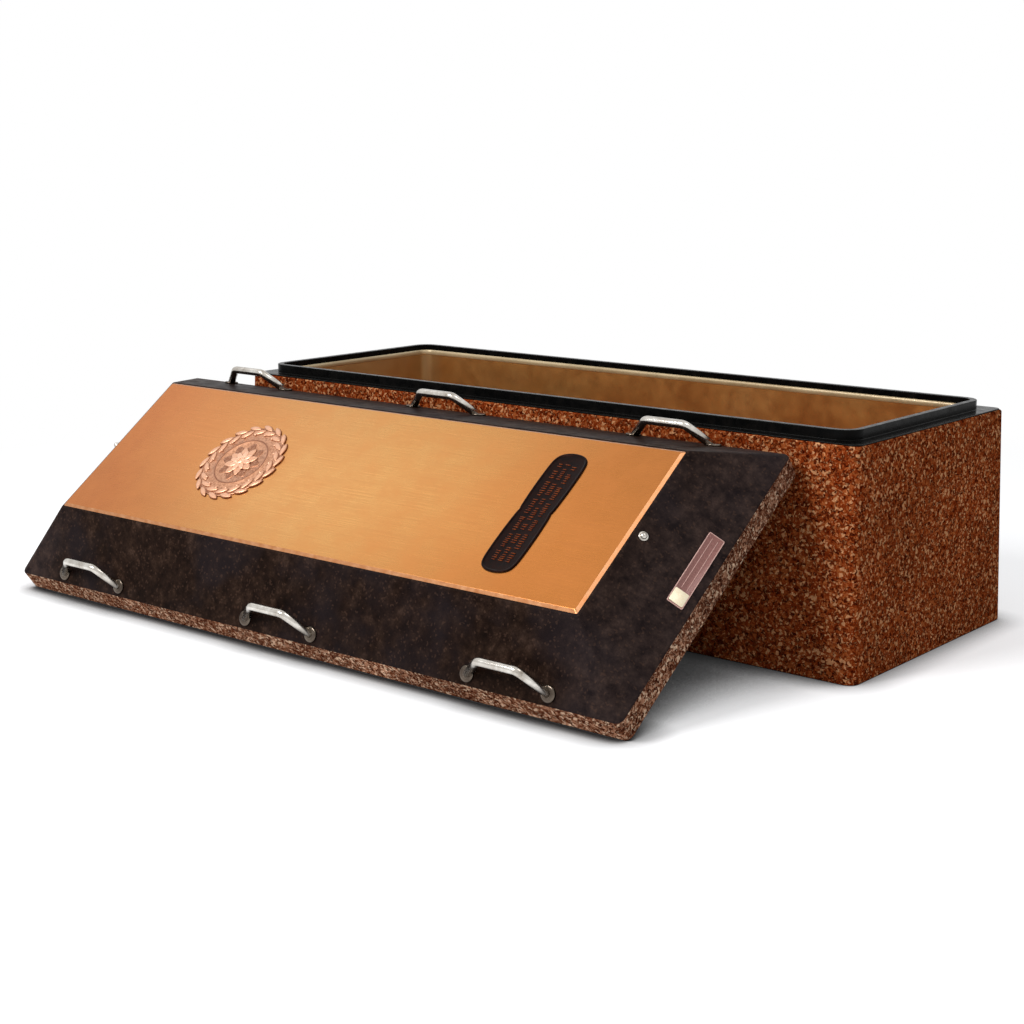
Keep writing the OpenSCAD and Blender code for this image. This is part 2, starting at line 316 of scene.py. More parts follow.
class Finish:
    """A material under construction, with short ways to add the nodes it needs."""

    def __init__(self, name, **values):
        self.material = bpy.data.materials.new(name)
        self.material.use_nodes = True
        self.tree = self.material.node_tree
        self.shader = self.tree.nodes["Principled BSDF"]
        self.output = self.tree.nodes["Material Output"]
        for socket, value in values.items():
            self.shader.inputs[socket.replace("_", " ")].default_value = value
        self.place = self.node("ShaderNodeTexCoord").outputs["Object"]

    def node(self, kind, inputs=None, **settings):
        made = self.tree.nodes.new(kind)
        for key, value in settings.items():
            setattr(made, key, value)
        for key, value in (inputs or {}).items():
            if isinstance(value, bpy.types.NodeSocket):
                self.tree.links.new(value, made.inputs[key])
            else:
                made.inputs[key].default_value = value
        return made

    def on_lid(self):
        """Takes the pattern's place in the lid's own frame instead of the object's."""
        mapping = self.node("ShaderNodeMapping", {"Vector": self.place}, vector_type="TEXTURE")
        mapping.inputs["Location"].default_value = LID_ORIGIN
        mapping.inputs["Rotation"].default_value = (LID_TILT, 0, 0)
        self.place = mapping.outputs["Vector"]
        return self

    def stretched(self, x, y, z):
        """The place, scaled along each axis, for streaks and grain."""
        return self.node("ShaderNodeMapping", {"Vector": self.place, "Scale": (x, y, z)}).outputs[0]

    def noise(self, scale, detail=2.0, roughness=0.5, at=None):
        """A grey noise, from about 0.3 to 0.7 over most of its area."""
        return self.node("ShaderNodeTexNoise", {
            "Vector": at or self.place, "Scale": scale, "Detail": detail, "Roughness": roughness,
        }).outputs[0]

    def cells(self, scale, at=None):
        """Random cells: a random number for each, and the distance from its middle."""
        made = self.node("ShaderNodeTexVoronoi", {"Vector": at or self.place, "Scale": scale})
        parts = self.node("ShaderNodeSeparateColor", {"Color": made.outputs["Color"]})
        return parts.outputs[0], made.outputs["Distance"]

    def shaken(self, scale, amount):
        """The place, moved about by a noise, so that a pattern on it has uneven edges."""
        noise = self.node("ShaderNodeTexNoise", {"Vector": self.place, "Scale": scale, "Detail": 3})
        centred = self.node("ShaderNodeVectorMath", {0: noise.outputs["Color"], 1: (0.5, 0.5, 0.5)},
                            operation="SUBTRACT")
        scaled = self.node("ShaderNodeVectorMath", {0: centred.outputs[0], "Scale": amount},
                           operation="SCALE")
        moved = self.node("ShaderNodeVectorMath", {0: self.place, 1: scaled.outputs[0]},
                          operation="ADD")
        return moved.outputs[0]

    def ramp(self, factor, stops, interpolation="LINEAR"):
        """Colours (or greys, as single numbers) at places from 0 to 1 along a factor."""
        made = self.node("ShaderNodeValToRGB", {"Fac": factor})
        made.color_ramp.interpolation = interpolation
        elements = made.color_ramp.elements
        while len(elements) < len(stops):
            elements.new(0.5)
        for element, (position, colour) in zip(elements, stops):
            element.position = position
            grey = isinstance(colour, (int, float))
            element.color = (colour,) * 3 + (1,) if grey else (*colour, 1)
        return made.outputs["Color"]

    def mix(self, factor, a, b, blend="MIX"):
        made = self.node("ShaderNodeMix", data_type="RGBA", blend_type=blend)
        for socket, value in ((0, factor), (6, a), (7, b)):
            if isinstance(value, bpy.types.NodeSocket):
                self.tree.links.new(value, made.inputs[socket])
            elif socket == 0:
                made.inputs[socket].default_value = value
            else:
                made.inputs[socket].default_value = (*value, 1)
        return made.outputs[2]

    def math(self, operation, a, b=0.0):
        return self.node("ShaderNodeMath", {0: a, 1: b}, operation=operation).outputs[0]

    def span(self, value, low, high, to_low=0.0, to_high=1.0):
        """A value from low to high, carried to another span and kept inside it."""
        return self.node("ShaderNodeMapRange", {
            "Value": value, "From Min": low, "From Max": high, "To Min": to_low, "To Max": to_high,
        }).outputs[0]

    def axis(self, number):
        """One coordinate of the pattern's place: 0, 1 or 2."""
        return self.node("ShaderNodeSeparateXYZ", {0: self.place}).outputs[number]

    def set(self, **sockets):
        """Feeds values into the shader's sockets, with _ for each space in a name."""
        for socket, value in sockets.items():
            self.tree.links.new(value, self.shader.inputs[socket.replace("_", " ")])

    def bump(self, height, distance, strength=1.0):
        made = self.node("ShaderNodeBump", {
            "Height": height, "Distance": distance, "Strength": strength,
        })
        self.tree.links.new(made.outputs[0], self.shader.inputs["Normal"])


def tone(red, green, blue):
    """A colour written as screen values from 0 to 255."""
    def linear(value):
        share = value / 255
        return share / 12.92 if share <= 0.04045 else ((share + 0.055) / 1.055) ** 2.4
    return linear(red), linear(green), linear(blue)


# ---------------------------------------------------------------- finishes


def speckled_stone(name, dark, ground, light, pale):
    """Sprayed stone finish: flecks of four tones in two sizes, over a slowly changing ground."""
    f = Finish(name, Specular_IOR_Level=0.0)
    at = f.shaken(70, 0.020)
    coarse, coarse_edge = f.cells(145, at)
    fine, fine_edge = f.cells(330, at)
    flecks = f.ramp(coarse, [(0.0, dark), (0.32, ground), (0.68, light), (0.88, pale)], "CONSTANT")
    specks = f.ramp(fine, [(0.0, dark), (0.34, ground), (0.74, light), (0.92, pale)], "CONSTANT")
    colour = f.mix(0.40, flecks, specks)
    patches = f.ramp(f.noise(3.2, 3), [(0.30, 0.78), (0.70, 1.12)])
    grain = f.ramp(f.noise(420, 2), [(0.25, 0.82), (0.75, 1.12)])
    colour = f.mix(1.0, f.mix(1.0, colour, patches, "MULTIPLY"), grain, "MULTIPLY")
    f.set(Base_Color=colour, Roughness=f.span(fine, 0, 1, 0.42, 0.62))
    relief = f.math("ADD", f.math("MULTIPLY", fine_edge, -1.2), f.noise(300, 3))
    f.bump(f.math("ADD", relief, f.math("MULTIPLY", coarse_edge, -0.6)), 0.0009, 0.7)
    return f.material


def black_lid_finish():
    """Near-black coating of the slopes, faintly mottled in warm and cool greys; the end slopes are
    painted lighter and greyer, standing in for the light that falls on them.
    """
    f = Finish("lid_black_coating", Specular_IOR_Level=0.02).on_lid()
    clouds = f.noise(22, 6, 0.75)
    colour = f.ramp(clouds, [
        (0.34, tone(16, 8, 5)), (0.48, tone(28, 17, 12)),
        (0.58, tone(40, 27, 20)), (0.70, tone(60, 44, 36)),
    ])
    bluish = f.noise(5, 3)
    colour = f.mix(f.span(bluish, 0.46, 0.64, 0.0, 0.6), colour, tone(30, 25, 28))
    # Painted light: the colour turns lighter and greyer towards both ends, where the end slopes face
    # the light.
    ends_painted_lighter = f.span(f.math("ABSOLUTE", f.axis(0)), 0.95, 1.08, 0.0, 0.48)
    end_painted_light_tones = f.ramp(clouds, [(0.36, tone(34, 28, 30)), (0.66, tone(72, 59, 56))])
    colour = f.mix(ends_painted_lighter, colour, end_painted_light_tones)
    specks = f.cells(190, f.shaken(60, 0.01))[0]
    colour = f.mix(f.ramp(specks, [(0.0, 0), (0.93, 0.25)], "CONSTANT"), colour, tone(84, 62, 50))
    f.set(Base_Color=colour, Roughness=f.span(f.noise(28, 4), 0.3, 0.7, 0.36, 0.54))
    f.bump(f.math("ADD", f.noise(240, 3), f.math("MULTIPLY", f.noise(45, 2), 2.0)), 0.0006, 0.6)
    return f.material


def plain_concrete():
    """Bare cast concrete of the surfaces that face the ground or the hollow."""
    f = Finish("cast_concrete", Specular_IOR_Level=0.25)
    clouds = f.noise(7, 6, 0.6)
    colour = f.ramp(clouds, [
        (0.30, tone(84, 74, 66)), (0.52, tone(108, 98, 88)), (0.74, tone(132, 122, 110)),
    ])
    pores, edge = f.cells(120)
    holes = f.ramp(edge, [(0.0, 0.0), (0.16, 1.0)])
    rare = f.ramp(pores, [(0.0, 0.0), (0.88, 1.0)], "CONSTANT")
    pore_depth_and_shade = f.mix(rare, (1, 1, 1), holes)
    # Painted shade: the colour is darkened inside the rare pores, where they are sunk.
    f.set(Base_Color=f.mix(1.0, colour, f.mix(0.5, (1, 1, 1), pore_depth_and_shade), "MULTIPLY"),
          Roughness=f.span(clouds, 0.3, 0.7, 0.75, 0.92))
    f.bump(f.math("ADD", f.noise(90, 4), pore_depth_and_shade), 0.0010, 0.7)
    return f.material


def black_rim_finish():
    """Glossy black moulded rim, with a faint waviness and a little dust."""
    f = Finish("black_rim_moulding", Specular_IOR_Level=0.06)
    dust = f.noise(38, 5, 0.7)
    f.set(Base_Color=f.ramp(dust, [(0.45, tone(4, 4, 4)), (0.80, tone(14, 11, 9))]),
          Roughness=f.span(dust, 0.35, 0.75, 0.20, 0.42))
    f.bump(f.math("ADD", f.noise(14, 2), f.math("MULTIPLY", f.noise(260, 2), 0.15)), 0.0010, 0.4)
    return f.material


def copper_fold_painted_highlight():
    """Paler copper of the sheet's folded border: a painted highlight along the fold."""
    f = Finish("copper_fold_painted_highlight", Metallic=1.0)
    sheen_mottle = f.on_lid().noise(40, 4, 0.6)
    # Painted highlight: the fold's copper is paler than the top, standing in for the light that the
    # fold catches.
    f.set(Base_Color=f.ramp(sheen_mottle, [(0.30, tone(180, 116, 72)), (0.70, tone(198, 146, 106))]),
          Roughness=f.span(sheen_mottle, 0.3, 0.7, 0.30, 0.42))
    f.bump(f.noise(300, 2), 0.0001, 0.4)
    return f.material


def brushed_copper():
    """Lacquered copper sheet, brushed along the lid, with a painted reflection: pale gold along the
    middle of its length, orange towards both ends.
    """
    f = Finish("brushed_copper", Metallic=1.0, Coat_Weight=0.25, Coat_Roughness=0.35)
    f.on_lid()
    streaks = f.noise(1.0, 3, 0.6, at=f.stretched(5, 520, 40))
    mottle = f.noise(13, 4, 0.6)
    drift = f.span(f.noise(1.6, 3), 0.3, 0.7, -0.08, 0.08)
    # Painted reflection: the colour runs from orange at both ends to pale gold in the middle,
    # standing in for a lamp's sheen on the sheet.
    along = f.math("ADD", f.span(f.axis(0), -1.0, 1.0), drift)
    colour = f.ramp(along, [
        (0.02, tone(188, 110, 46)), (0.36, tone(200, 146, 82)),
        (0.56, tone(200, 146, 80)), (0.94, tone(184, 112, 44)),
    ])
    colour = f.mix(f.span(mottle, 0.35, 0.7, 0.0, 0.30), colour, tone(206, 126, 58))
    colour = f.mix(f.span(streaks, 0.35, 0.7, 0.0, 0.22), colour, tone(170, 100, 46))
    brushing = f.span(streaks, 0.3, 0.7, 0.22, 0.31)
    f.set(Base_Color=colour, Roughness=f.math("ADD", brushing, f.span(mottle, 0.3, 0.7, 0, 0.05)))
    f.bump(f.math("ADD", streaks, f.math("MULTIPLY", f.noise(3.0, 1), 6.0)), 0.00012, 0.6)
    return f.material


def liner_bronze():
    """Bronze sheet of the liner: golden brown, with olive and reddish patches; its end walls are
    painted paler, standing in for the light that falls on them.
    """
    f = Finish("liner_bronze", Metallic=0.85, Coat_Weight=0.2, Coat_Roughness=0.3)
    clouds = f.noise(2.6, 4, 0.55)
    stains = f.noise(1.7, 3, at=f.stretched(0.5, 1, 2.2))
    colour = f.ramp(clouds, [
        (0.30, tone(172, 110, 52)), (0.50, tone(194, 136, 72)), (0.70, tone(204, 154, 92)),
    ])
    colour = f.mix(f.span(stains, 0.50, 0.72, 0.0, 0.55), colour, tone(146, 122, 66))
    # Painted light: the end walls turn paler, as though lit more than the long walls.
    ends_painted_lighter = f.span(f.math("ABSOLUTE", f.axis(0)), 0.98, 1.06, 0.0, 0.7)
    colour = f.mix(ends_painted_lighter, colour, tone(190, 166, 120))
    f.set(Base_Color=colour, Roughness=f.span(f.noise(22, 2), 0.3, 0.7, 0.28, 0.38))
    f.bump(f.noise(2.2, 1), 0.0010, 0.4)
    return f.material


def hem_painted_highlight_finish():
    """Pale lacquered metal of the liner's rolled hem: the paleness is a painted highlight along the
    lip.
    """
    f = Finish("liner_hem_painted_highlight", Metallic=0.35, Coat_Weight=0.3, Coat_Roughness=0.25)
    clouds = f.noise(4.0, 4)
    f.set(Base_Color=f.ramp(clouds, [(0.30, tone(156, 134, 98)), (0.70, tone(196, 176, 138))]),
          Roughness=f.span(f.noise(60, 3), 0.3, 0.7, 0.32, 0.45))
    f.bump(f.noise(30, 3), 0.0004, 0.4)
    return f.material


def cast_copper():
    """Cast copper ornament: bright and pinkish where it stands up, brown in the hollows; the brown is
    partly patina and partly painted shade.
    """
    f = Finish("cast_copper", Metallic=0.8, Coat_Weight=0.1, Coat_Roughness=0.3)
    f.on_lid()
    height = f.math("SUBTRACT", f.axis(2), COVER_TOP_Z)
    height_for_patina_and_shade = f.math("ADD", height, f.span(f.noise(160, 3), 0.3, 0.7, -0.0003, 0.0003))
    # Darker by height: the low parts and thin dark bands are partly patina, partly painted shade in
    # the hollows and gaps.
    colour = f.ramp(f.span(height_for_patina_and_shade, 0.0, 0.0100), [
        (0.20, tone(130, 74, 40)), (0.27, tone(206, 152, 118)), (0.33, tone(124, 70, 40)),
        (0.50, tone(212, 158, 124)), (1.0, tone(238, 192, 162)),
    ])
    f.set(Base_Color=colour, Roughness=f.span(f.noise(90, 4), 0.3, 0.7, 0.34, 0.50))
    f.bump(f.noise(420, 3), 0.0003, 0.6)
    return f.material


def dark_bronze(name, low, high):
    """Oxidised bronze, cast, with an uneven patina between two tones."""
    f = Finish(name, Metallic=0.7, Specular_IOR_Level=0.1)
    patina = f.noise(55, 5, 0.65)
    f.set(Base_Color=f.ramp(patina, [(0.32, low), (0.70, high)]),
          Roughness=f.span(patina, 0.3, 0.7, 0.34, 0.52))
    f.bump(f.noise(300, 3), 0.0004, 0.7)
    return f.material


def label_finish(name, low, high):
    """Printed metal of the label plate, with a fine even grain."""
    f = Finish(name, Metallic=0.15, Coat_Weight=0.3, Coat_Roughness=0.2)
    grain = f.noise(1.0, 3, at=f.stretched(600, 30, 600))
    f.set(Base_Color=f.ramp(grain, [(0.30, low), (0.70, high)]),
          Roughness=f.span(grain, 0.3, 0.7, 0.34, 0.46))
    f.bump(grain, 0.0001, 0.4)
    return f.material


def bright_steel(name, bright, dull, tarnished):
    """Polished steel with fine scratches and a little tarnish."""
    f = Finish(name, Metallic=1.0)
    scratches = f.noise(1.0, 4, 0.7, at=f.stretched(90, 900, 900))
    tarnish = f.noise(34, 4, 0.6)
    colour = f.ramp(tarnish, [(0.34, bright), (0.62, dull), (0.80, tarnished)])
    polish = f.span(scratches, 0.3, 0.7, 0.12, 0.24)
    f.set(Base_Color=colour, Roughness=f.math("ADD", polish, f.span(tarnish, 0.5, 0.8, 0, 0.10)))
    f.bump(scratches, 0.0001, 0.5)
    return f.material


BOX_STONE = speckled_stone(
    "box_stone", tone(56, 10, 2), tone(128, 50, 17), tone(168, 90, 46), tone(220, 162, 114))
EDGE_STONE = speckled_stone(
    "lid_edge_stone", tone(54, 20, 10), tone(106, 62, 42), tone(180, 132, 104), tone(240, 206, 174))
CONCRETE = plain_concrete()
LID_BLACK = black_lid_finish()
RIM_BLACK = black_rim_finish()
COPPER = brushed_copper()
COPPER_FOLD_PAINTED_HIGHLIGHT = copper_fold_painted_highlight()
LINER = liner_bronze()
# The hem's pale colour is a painted highlight along the liner's lip.
HEM = hem_painted_highlight_finish()
CAST = cast_copper()
PLATE_BRONZE = dark_bronze("plate_bronze", tone(6, 1, 1), tone(30, 8, 3))
STROKE_BRONZE = dark_bronze("stroke_bronze", tone(76, 26, 8), tone(118, 58, 24))
LABEL = label_finish("label_plate_metal", tone(176, 130, 120), tone(214, 172, 160))
LABEL_FIELD = label_finish("label_field", tone(112, 66, 58), tone(146, 96, 88))
TILE = label_finish("label_tile", tone(248, 228, 186), tone(255, 244, 216))
STEEL = bright_steel("handle_steel", tone(214, 210, 203), tone(176, 169, 160), tone(120, 110, 98))
# Painted shade: the feet get dark steel tones, standing in for the shadow under the bar.
FOOT_STEEL_PAINTED_SHADE = bright_steel("handle_foot_steel", tone(104, 94, 84), tone(78, 68, 60), tone(52, 42, 36))

# ---------------------------------------------------------------- box, rim and liner


def make_box():
    """The stone-finished box: outer walls with their draft, and the plain space inside."""
    bm = bmesh.new()
    loft(bm, [
        ring(CAVITY_L, CAVITY_W, CAVITY_CORNER_R, LINER_LOW.z),
        ring(CAVITY_L, CAVITY_W, CAVITY_CORNER_R, BOX_H),
        ring(BOX_TOP_L, BOX_TOP_W, BOX_TOP_R, BOX_H),
        ring(BOX_L, BOX_W, BOX_CORNER_R, 0),
    ], finishes=[1, 0, 0])
    piece("stone_box", bm, [BOX_STONE, CONCRETE], ["vault_box"], soften=0.005)


def make_rim():
    """The black rim: a flange on the shoulder and the upright tongue that the lid seals on."""
    bm = bmesh.new()
    top = BOX_H + FLANGE_T
    rings = [
        ring(CAVITY_L, CAVITY_W, CAVITY_CORNER_R, BOX_H),
        ring(FLANGE_L, FLANGE_W, FLANGE_CORNER_R, BOX_H),
        ring(FLANGE_L, FLANGE_W, FLANGE_CORNER_R, top),
        ring(TONGUE_L, TONGUE_W, TONGUE_CORNER_R, top),
        ring(TONGUE_L, TONGUE_W, TONGUE_CORNER_R, RIM_HIGH.z),
        ring(CAVITY_L, CAVITY_W, CAVITY_CORNER_R, RIM_HIGH.z),
    ]
    rows = [[bm.verts.new(p) for p in points] for points in rings]
    for a, b in zip(rows, rows[1:] + rows[:1]):
        for i in range(len(a)):
            j = (i + 1) % len(a)
            bm.faces.new((a[i], a[j], b[j], b[i]))
    bmesh.ops.recalc_face_normals(bm, faces=bm.faces)
    piece("black_sealing_rim", bm, [RIM_BLACK], ["sealing_rim"],
          soften=0.003, segments=4)


def make_liner():
    """The bronze liner: a thin open tray with a rounded foot and a rolled hem along its top."""
    bm = bmesh.new()
    inner_l = CAVITY_L - 2 * LINER_T
    inner_w = CAVITY_W - 2 * LINER_T
    inner_r = CAVITY_CORNER_R - LINER_T
    floor_z = LINER_LOW.z + LINER_T
    hem_z = LINER_HIGH.z - HEM_H
    rings = [
        ring(CAVITY_L, CAVITY_W, CAVITY_CORNER_R, LINER_LOW.z),
        ring(CAVITY_L, CAVITY_W, CAVITY_CORNER_R, LINER_HIGH.z),
    ]
    finishes = [0]
    for step in range(HEM_STEPS + 1):
        angle = pi * step / HEM_STEPS
        bulge = HEM_T * sin(angle) ** 0.6
        height = hem_z + HEM_H / 2 * (1 + cos(angle))
        out = max(bulge, LINER_T)
        rings.append(ring(CAVITY_L - 2 * out, CAVITY_W - 2 * out, CAVITY_CORNER_R - out, height))
        finishes.append(1)
    for step in range(LINER_BEND_STEPS + 1):
        angle = pi / 2 * step / LINER_BEND_STEPS
        closer = LINER_BEND_R * (1 - cos(angle))
        height = floor_z + LINER_BEND_R * (1 - sin(angle))
        rings.append(ring(inner_l - 2 * closer, inner_w - 2 * closer, inner_r - closer * 0.9, height))
        finishes.append(0)
    loft(bm, rings, finishes)
    piece("bronze_liner_tray", bm, [LINER, HEM], ["box_liner"], soften=0.0008)


# ---------------------------------------------------------------- lid


def pad_rings():
    """The foot and the top of the low panel that the cover is folded over."""
    return [
        ring(COVER_L - 2 * COVER_SIDE, COVER_W - 2 * COVER_SIDE, COVER_CORNER_R, LEVEL_TOP_Z),
        ring(COVER_L - 2 * PAD_IN, COVER_W - 2 * PAD_IN, COVER_CORNER_R, LEVEL_TOP_Z + PAD_H),
    ]


def make_lid():
    """The lid: stone edge, black slopes, the low panel under the cover, the groove and the hollow."""
    bm = bmesh.new()
    groove_z = RIM_HIGH.z - BOX_H + SEAL_GAP
    groove_out = [TONGUE_L + 2 * SEAL_GAP, TONGUE_W + 2 * SEAL_GAP, TONGUE_CORNER_R + SEAL_GAP]
    groove_in = [CAVITY_L - 2 * SEAL_GAP, CAVITY_W - 2 * SEAL_GAP, CAVITY_CORNER_R - SEAL_GAP]
    lip = SEAL_GAP + GROOVE_LIP
    hollow = [CAVITY_L - 2 * lip, CAVITY_W - 2 * lip, CAVITY_CORNER_R]
    hollow_z = LEVEL_TOP_Z - LID_WALL
    share = (SLOPE_RISE - LID_WALL) / SLOPE_RISE
    hollow_top_l = LID_L - 2 * (END_SLOPE_RUN * share + LID_WALL / sin(END_SLOPE_ANGLE))
    hollow_top_w = LID_W - 2 * (SIDE_SLOPE_RUN * share + LID_WALL / sin(SIDE_SLOPE_ANGLE))
    bend_z = hollow_z - (hollow[1] - hollow_top_w) / 2 * SLOPE_RISE / SIDE_SLOPE_RUN
    loft(bm, [
        ring(hollow_top_l, hollow_top_w, LEVEL_TOP_R, hollow_z),
        ring(*hollow, bend_z),
        ring(*hollow, 0),
        ring(*groove_in, 0),
        ring(*groove_in, groove_z),
        ring(*groove_out, groove_z),
        ring(*groove_out, 0),
        ring(LID_L, LID_W, LID_CORNER_R, 0),
        ring(LID_L, LID_W, LID_CORNER_R, LID_EDGE_H),
        ring(LEVEL_TOP_L, LEVEL_TOP_W, LEVEL_TOP_R, LEVEL_TOP_Z),
        *pad_rings(),
    ], finishes=[2, 2, 2, 2, 2, 2, 2, 0, 1, 1, 1])
    bm.transform(LID)
    piece("stone_lid", bm, [EDGE_STONE, LID_BLACK, CONCRETE], ["lid_slab"], soften=0.004)


def make_cover():
    """The copper sheet: its level top, the folded bevel and the turned edge that meets the lid."""
    bm = bmesh.new()
    loft(bm, [
        *reversed(pad_rings()),
        ring(COVER_L, COVER_W, COVER_CORNER_R, LEVEL_TOP_Z),
        ring(COVER_L - 2 * COVER_RUN, COVER_W - 2 * COVER_RUN, COVER_CORNER_R, COVER_TOP_Z),
    ], [1, 1, 1, 0])
    bm.transform(LID)
    piece("copper_cover_sheet", bm, [COPPER, COPPER_FOLD_PAINTED_HIGHLIGHT], ["cover_sheet"],
          soften=0.0012)


# ---------------------------------------------------------------- fittings on the cover


def leaf(bm, place, length, width, height, groove=0.0010, cup=0.0):
    """A domed, pointed leaf along X with a groove down its middle and fine side veins."""
    rows = 14
    columns = 8
    tip_a = bm.verts.new(place @ Vector((-length / 2, 0, 0)))
    tip_b = bm.verts.new(place @ Vector((length / 2, 0, 0)))
    grid = []
    for i in range(1, rows):
        u = 2 * i / rows - 1
        half = width / 2 * (1 - u * u) ** 0.9
        line = []
        for k in range(columns + 1):
            v = 2 * k / columns - 1
            dome = sqrt(1 - v * v) * (1 - u * u) ** 0.4
            vein = groove * exp(-(v / 0.22) ** 2) * (1 - u * u) ** 0.3
            ribs = 0.00045 * sin(26 * u + 5 * abs(v)) * (1 - v * v)
            hollow = cup * (1 - v * v) * (1 - u * u)
            z = max(height * dome - vein + ribs - hollow, 0) if abs(v) < 1 else 0
            line.append(bm.verts.new(place @ Vector((u * length / 2, v * half, z))))
        grid.append(line)
    faces = []
    for a, b in zip(grid, grid[1:]):
        for k in range(columns):
            faces.append(bm.faces.new((a[k], b[k], b[k + 1], a[k + 1])))
    for k in range(columns):
        faces.append(bm.faces.new((tip_a, grid[0][k], grid[0][k + 1])))
        faces.append(bm.faces.new((tip_b, grid[-1][k + 1], grid[-1][k])))
    border = [tip_a] + [line[-1] for line in grid] + [tip_b] + [line[0] for line in reversed(grid)]
    faces.append(bm.faces.new(border))
    bmesh.ops.recalc_face_normals(bm, faces=faces)


def bead(bm, x, y, z, radius, flat=1.0):
    """A small raised ball, flattened as asked."""
    turn = Matrix.Translation((x, y, z)) @ Matrix.Diagonal((1, 1, flat, 1))
    bmesh.ops.create_uvsphere(bm, u_segments=14, v_segments=8, radius=radius, matrix=turn)


def make_medallion():
    """The cast ornament: a rimmed disc, a wreath of two rows of leaves, and a rosette."""
    bm = bmesh.new()
    low, high = lid_box("medallion")
    boss_top = high.z - low.z
    place = Matrix.Translation(((low.x + high.x) / 2, (low.y + high.y) / 2, low.z))
    profile = [
        (MEDALLION_R, 0), (MEDALLION_R, 0.0018), (MEDALLION_R - 0.0012, DISC_T),
        (MEDALLION_R - 0.004, 0.0036), (MEDALLION_R - 0.007, 0.0034), (MEDALLION_R - 0.009, DISC_T),
        (0.092, DISC_T), (0.090, 0.0036), (0.087, 0.0036), (0.085, DISC_T), (0.020, DISC_T),
    ]
    loft(bm, [circle(r, z, 96) for r, z in profile], place=place)

    for i in range(LEAF_COUNT):
        for row in (-1, 1):
            turn = Matrix.Rotation(2 * pi / LEAF_COUNT * (i + (row + 1) / 4), 4, "Z")
            out = Matrix.Translation((MEDALLION_R - LEAF_W / 2 + row * LEAF_W / 2, 0, LEAF_LIFT))
            lean = Matrix.Rotation(radians(90 - row * LEAF_LEAN), 4, "Z")
            leaf(bm, place @ turn @ out @ lean, LEAF_L, LEAF_W, LEAF_H)
        berry = 2 * pi / LEAF_COUNT * (i + 0.25)
        radius = MEDALLION_R - BERRY_IN
        centre = place @ Vector((radius * cos(berry), radius * sin(berry), 0.0036))
        bead(bm, *centre, BERRY_R, 0.9)

    for share, on, lift, height in ROSETTE_ROWS:
        for i in range(PETAL_COUNT):
            turn = Matrix.Rotation(2 * pi / PETAL_COUNT * (i + on / 2), 4, "Z")
            out = Matrix.Translation((share * PETAL_L / 2 + BOSS_R / 3, 0, lift))
            leaf(bm, place @ turn @ out, share * PETAL_L, share * PETAL_W, height,
                 PETAL_GROOVE, PETAL_CUP)

    boss_profile = [
        (BOSS_R, 0.0020), (BOSS_R, 0.0070), (BOSS_R * 0.94, 0.0092), (BOSS_R * 0.80, 0.0110),
        (BOSS_R * 0.58, 0.0122), (BOSS_R * 0.30, 0.0128), (BOSS_R * 0.08, 0.0130),
    ]
    loft(bm, [circle(r, z, 40) for r, z in boss_profile], place=place)
    golden = pi * (3 - sqrt(5))
    for k in range(SEED_COUNT):
        share = sqrt((k + 0.5) / SEED_COUNT)
        radius = BOSS_R * 0.90 * share
        top = boss_top - SEED_R - 0.0052 * share ** 2
        centre = place @ Vector((radius * cos(golden * k), radius * sin(golden * k), top))
        bead(bm, *centre, SEED_R)
    bm.transform(LID)
    piece("leaf_wreath_medallion", bm, [CAST], ["medallion"])


def plate_outline(length):
    """The name plate's outline: two lobes, a waist between them, and blunt ends."""
    steps = 96
    side = []
    for i in range(steps + 1):
        s = cos(pi * i / steps)
        lobe = PLATE_LOBE * sqrt(abs(sin(pi * s)))
        half = (PLATE_WAIST / 2 + lobe) * sqrt(max(1 - s ** 16, 0))
        side.append((half, s * length / 2))
    points = [Vector((-x, y, 0)) for x, y in side]
    points += [Vector((x, y, 0)) for x, y in reversed(side[1:-1])]
    return points


def make_name_plate():
    """The dark plate: a rounded border, a sunk field and rows of plain strokes, not letters."""
    bm = bmesh.new()
    low, high = lid_box("name_plate")
    thickness = high.z - low.z
    length = high.y - low.y
    place = Matrix.Translation(((low.x + high.x) / 2, (low.y + high.y) / 2, low.z))
    outline = plate_outline(length)
    border = [
        (0, 0), (0, 0.55), (0.0006, 0.78), (0.0020, 0.97), (0.0034, 1.0), (0.0048, 0.97),
        (0.0064, 0.76), (0.0076, 0.60), (0.0090, PLATE_FIELD),
    ]
    loft(bm, [inset(outline, d, z * thickness) for d, z in border], place=place)
    field_z = PLATE_FIELD * thickness
    stroke_top = field_z + STROKE_RISE * thickness
    draw = Random(7)
    for row in (-1, 0, 1):
        x = row * ROW_PITCH
        y = ROW_MARGIN - length / 2
        left = draw.randint(*STROKE_GROUP)
        while y < length / 2 - ROW_MARGIN:
            reach = draw.choice(STROKE_LENGTHS)
            stroke(bm, place, x, y, reach, STROKE_W, field_z - 0.0002, stroke_top)
            y += draw.choice(STROKE_STEPS)
            left -= 1
            if left == 0:
                left = draw.randint(*STROKE_GROUP)
                y += GROUP_GAP
    bm.transform(LID)
    piece("dark_name_plate", bm, [PLATE_BRONZE, STROKE_BRONZE], ["name_plate"])


def stroke(bm, place, x, y, reach, width, z0, z1):
    """One short raised bar across a row, with sloping sides."""
    slope = 0.0006
    rings = []
    for z, narrower in ((z0, 0), (z1 - slope, 0.0002), (z1, slope)):
        half_x = reach / 2 - narrower
        half_y = width / 2 - narrower
        rings.append([
            Vector((x + sx * half_x, y + sy * half_y, z))
            for sx, sy in ((1, -1), (1, 1), (-1, 1), (-1, -1))
        ])
    loft(bm, rings, finishes=[1, 1], place=place)


# ---------------------------------------------------------------- fittings on the slopes


